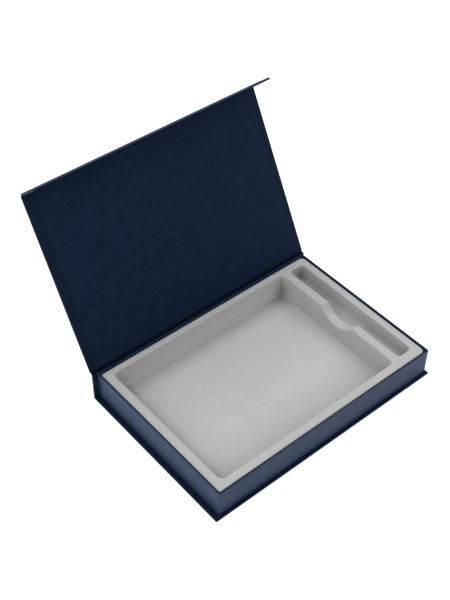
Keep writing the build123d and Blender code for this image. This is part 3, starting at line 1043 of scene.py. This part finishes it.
    # underside, between the outline and the pocket
    foot = [(verts[v][0], verts[v][1]) for v in bot_p]
    n1 = len(bot_o)
    pts2 = [Vector((verts[v][0], verts[v][1])) for v in bot_o + bot_p]
    ids = bot_o + bot_p
    n2 = len(bot_p)
    edges = [(i, (i + 1) % n1) for i in range(n1)] + [(n1 + i, n1 + (i + 1) % n2) for i in range(n2)]
    vs, es, fs, ov, oe, of = delaunay_2d_cdt(pts2, edges, [], 0, 1e-4)
    remap = [ids[ov[i][0]] for i in range(len(vs))]
    for f in fs:
        c = sum((Vector(vs[i]) for i in f), Vector((0, 0))) / len(f)
        if inside(c, foot):
            continue
        area = 0.0
        for a in range(len(f)):
            p, q = vs[f[a]], vs[f[(a + 1) % len(f)]]
            area += p[0] * q[1] - q[0] * p[1]
        f = list(f) if area < 0 else list(f)[::-1]
        faces.append(tuple(remap[i] for i in f))

    ob = make("flocked_insert", verts, faces, on_tray, wear_and_light=wear_and_light)
    bm = bmesh.new()
    bm.from_mesh(ob.data)
    bmesh.ops.remove_doubles(bm, verts=bm.verts, dist=1e-6)
    bmesh.ops.recalc_face_normals(bm, faces=bm.faces)
    bm.to_mesh(ob.data)
    bm.free()
    return sharp_by_angle(ob, 38)


insert = flock_insert()
dress(insert, M_FLOCK, "tray", ("insert_block",))


def pad_bow(p):
    if p[2] > (pl_[2] + ph_[2]) / 2:
        return Vector((p[0], p[1], p[2] + 0.12 * wave((p[0], p[1], 0), 42.0, 61) - 0.02))
    return Vector(p)


pad = panel("flocked_pad", (pl_[0], pl_[1], pl_[2]), (ph_[0], ph_[1], ph_[2]), r=0.3, pitch=4.0, bow=pad_bow, n=2)


def painted_floor_shade(x, y):
    """Painted shade on the pocket's floor: darker towards the left and back walls and the back right corner, and
    faintly towards the front and right walls.
    """
    a = 1.0 - 1.0 * near(x - POCKET[0], 20.0) - 0.62 * near(POCKET[3] - y, 26.0) - 0.36 * near(y - POCKET[2], 60.0)
    a -= 0.60 * near(math.hypot(POCKET[1] - x, POCKET[3] - y), 24.0) + 0.12 * near(POCKET[1] - x, 14.0)
    return max(0.0, a)


# the pad's floor takes the painted shade through the attribute
pad.data.attributes["wear_and_painted_light"].data.foreach_set(
    "value", [painted_floor_shade(v.co.x * 1000, v.co.y * 1000 + 91.5) for v in pad.data.vertices])
dress(pad, M_FLOCK, "tray", ("insert_pad",))


def pad_cove():
    """Where the flocked sheet runs off the pocket's walls onto the floor: a soft cove, widest at the left,
    dying out along the back wall and gone at the right."""
    g = (TOP - FLOOR - 0.75) * DRAFT
    x0, x1, y0, y1 = POCKET[0] + g, POCKET[1] - g, POCKET[2] + g, POCKET[3] - g
    r = 1.6
    base = rounded_loop(x0, x1, y0, y1, r, 6, 3.0)
    mx, my, hx, hy = (x0 + x1) / 2, (y0 + y1) / 2, (x1 - x0) / 2, (y1 - y0) / 2

    def size(x, y):
        t = min(1.0, max(0.0, (x - x0) / (x1 - x0)))
        s = 7.5 * (1 - t) ** 0.8 + 0.5
        if x > x1 - 2.5:
            s = 0.5
        return s * (1 + 0.05 * wave((x, y, 0), 30.0, 91))

    steps = 9
    prof = [(-0.06, 1.03)] + [(1 - math.cos(math.pi / 2 * k / steps), 1 - math.sin(math.pi / 2 * k / steps)) for k in range(1, steps + 1)]
    verts, faces, wear_and_light, m = [], [], [], len(base)
    rows = [(d, h, 0.0, 0.0) for d, h in prof] + [(1.0, 0.0, 0.25, -0.35), (-0.06, 0.0, -0.3, -0.35)]
    for d, h, dd, dh in rows:
        for x, y, nx, ny in base:
            s_ = size(x, y)
            inset = d * s_ + dd
            if abs(nx) > 1e-6 and abs(ny) > 1e-6:
                px = x - (1 if nx > 0 else -1) * inset
                py = y - (1 if ny > 0 else -1) * inset
            elif abs(nx) > 0.5:
                px, py = x - nx * inset, my + (y - my) / (hy - r) * (hy - r - inset)
            else:
                px, py = mx + (x - mx) / (hx - r) * (hx - r - inset), y - ny * inset
            z = FLOOR - 0.02 + h * s_ + dh
            px -= (1 if px > mx else -1) * 0.0
            verts.append((px + (nx if h > 0.3 else 0.0) * h * s_ * DRAFT, py + (ny if h > 0.3 else 0.0) * h * s_ * DRAFT, z))
            # the cove's colour: a fixed level at the wall's foot, easing into the floor's painted shade
            t = min(1.0, max(0.0, d * 3.5))
            wear_and_light.append(0.82 * (1 - t) + painted_floor_shade(px, py) * t)
    k = len(rows)
    for a in range(k):
        b = (a + 1) % k
        for i in range(m):
            j = (i + 1) % m
            faces.append((a * m + i, a * m + j, b * m + j, b * m + i))
    return sharp_by_angle(make("pad_cove", verts, faces, on_tray, wear_and_light=wear_and_light), 70)


dress(pad_cove(), M_FLOCK, "tray")


def pad_lip():
    """The pad's cut edge stands up a hair where it meets the foot of the pocket's right wall."""
    x1 = POCKET[1] - (TOP - FLOOR - 0.75) * DRAFT
    y0, y1, n = POCKET[2] + 4.0, POCKET[3] - 18.0, 60
    verts, faces = [], []
    for k in range(n + 1):
        t = k / n
        y = y0 + (y1 - y0) * t
        h = 0.42 * (1 - t) ** 0.5 * (0.75 + 0.25 * wave((0, y, 0), 9.0, 81))
        w = 0.55
        a = x1 - 0.15 + 0.06 * wave((0, y, 0), 13.0, 83)
        for dx, dz in ((0.1, -0.2), (0.1, h * 0.85), (-0.12, h), (-0.35, h * 0.7), (-w, 0.0), (-w, -0.2)):
            verts.append((a + dx, y, FLOOR + dz))
    for k in range(n):
        for i in range(6):
            j = (i + 1) % 6
            faces.append((k * 6 + i, k * 6 + j, (k + 1) * 6 + j, (k + 1) * 6 + i))
    faces.append((5, 4, 3, 2, 1, 0))
    faces.append(tuple(n * 6 + i for i in range(6)))
    # the lip's colour follows the floor's painted shade
    return sharp_by_angle(make("pad_lip", verts, faces, on_tray, wear_and_light=[painted_floor_shade(v[0], v[1]) for v in verts]), 60)


dress(pad_lip(), M_FLOCK, "tray")

# ------------------------------------------------------------------ inner pieces kept as they are
for name, mat in (
    ("tray_floor", M_BOARD), ("tray_front_wall", M_BOARD), ("tray_back_wall", M_BOARD),
    ("tray_left_wall", M_BOARD), ("tray_right_wall", M_BOARD),
    ("tray_strike_discs", M_STEEL), ("flap_magnets", M_MAGNET),
):
    ob = frame["nodes"][name]
    for s in ob.material_slots:
        s.material = mat
    if not ob.material_slots:
        ob.data.materials.append(mat)

# ------------------------------------------------------------------ floor, light, camera
FLOOR_GLOW = 0.58               # a back-lit white table


def floor_mesh():
    me = bpy.data.meshes.new("studio_floor")
    R = 60.0
    me.from_pydata([(-R, -R, 0), (R, -R, 0), (R, R, 0), (-R, R, 0)], [], [(0, 1, 2, 3)])
    ob = bpy.data.objects.new("studio_floor", me)
    bpy.context.scene.collection.objects.link(ob)
    ob.location = (0, 0, -0.0002)
    n = Nodes("studio_floor")
    col = n.ramp(n.noise(2.0, 2.0, 0.5), [(0.3, (0.90, 0.90, 0.90)), (0.7, (0.92, 0.92, 0.92))])
    n.link(col, n.bsdf.inputs["Base Color"])
    n.bsdf.inputs["Roughness"].default_value = 0.9
    n.bsdf.inputs["Specular IOR Level"].default_value = 0.2
    n.bsdf.inputs["Emission Color"].default_value = (1.0, 1.0, 1.0, 1.0)
    n.bsdf.inputs["Emission Strength"].default_value = FLOOR_GLOW
    ob.data.materials.append(n.mat)
    return ob


floor_mesh()

# A soft studio: broad overlapping pools of light round the object, (azimuth from the front towards +X,
# elevation, tightness, strength). Low ones are dim, the ring at 48 degrees does most of the lighting.
POOLS = [(45 * k, 15, 10.0, v) for k, v in enumerate((0.18, 0.04, 0.06, 0.20, 0.35, 0.55, 0.52, 0.34))]
POOLS += [(45 * k, 48, 14.0, v) for k, v in enumerate((0.95, 0.85, 0.95, 1.25, 1.35, 1.45, 1.35, 1.00))]
POOLS += [(0, 90, 14.0, 0.15)]
LIGHT = 1.0

world = bpy.data.worlds.new("studio")
bpy.context.scene.world = world
world.use_nodes = True
wt = world.node_tree
wt.nodes.clear()
w_out = wt.nodes.new("ShaderNodeOutputWorld")
w_bg = wt.nodes.new("ShaderNodeBackground")
w_co = wt.nodes.new("ShaderNodeTexCoord")
total = None
for az, el, tight, power in POOLS:
    az, el = math.radians(az), math.radians(el)
    dot = wt.nodes.new("ShaderNodeVectorMath")
    dot.operation = "DOT_PRODUCT"
    dot.inputs[1].default_value = (math.sin(az) * math.cos(el), -math.cos(az) * math.cos(el), math.sin(el))
    wt.links.new(w_co.outputs["Generated"], dot.inputs[0])
    above = wt.nodes.new("ShaderNodeMath")
    above.operation = "MAXIMUM"
    above.inputs[1].default_value = 0.0
    wt.links.new(dot.outputs["Value"], above.inputs[0])
    pool = wt.nodes.new("ShaderNodeMath")
    pool.operation = "POWER"
    pool.inputs[1].default_value = tight
    wt.links.new(above.outputs[0], pool.inputs[0])
    add = wt.nodes.new("ShaderNodeMath")
    add.operation = "MULTIPLY_ADD"
    wt.links.new(pool.outputs[0], add.inputs[0])
    add.inputs[1].default_value = power * LIGHT
    add.inputs[2].default_value = 0.0
    if total is not None:
        wt.links.new(total, add.inputs[2])
    total = add.outputs[0]
w_bg.inputs["Color"].default_value = (1.0, 1.0, 1.0, 1.0)
wt.links.new(total, w_bg.inputs["Strength"])
wt.links.new(w_bg.outputs[0], w_out.inputs[0])


cam_data = bpy.data.cameras.new("camera")
cam_data.sensor_fit = "AUTO"
cam_data.sensor_width = 36.0
cam_data.lens = 66.027
cam_data.clip_start, cam_data.clip_end = 0.05, 20.0
cam = bpy.data.objects.new("camera", cam_data)
bpy.context.scene.collection.objects.link(cam)
right = Vector((0.7645231, -0.6445058, 0.0108045))
down = Vector((-0.4470243, -0.5421945, -0.7114734))
fwd = Vector((0.4644069, 0.5391079, -0.70263))
rot = Matrix((
    (right[0], -down[0], -fwd[0]),
    (right[1], -down[1], -fwd[1]),
    (right[2], -down[2], -fwd[2]),
))
cam.rotation_mode = "QUATERNION"
cam.rotation_quaternion = rot.to_quaternion()
cam.location = (-0.485758, -0.505606, 0.807333)
bpy.context.scene.camera = cam

view = bpy.context.scene.view_settings
view.view_transform = "Standard"
view.look = "None"
view.exposure = 0.0
view.gamma = 1.0
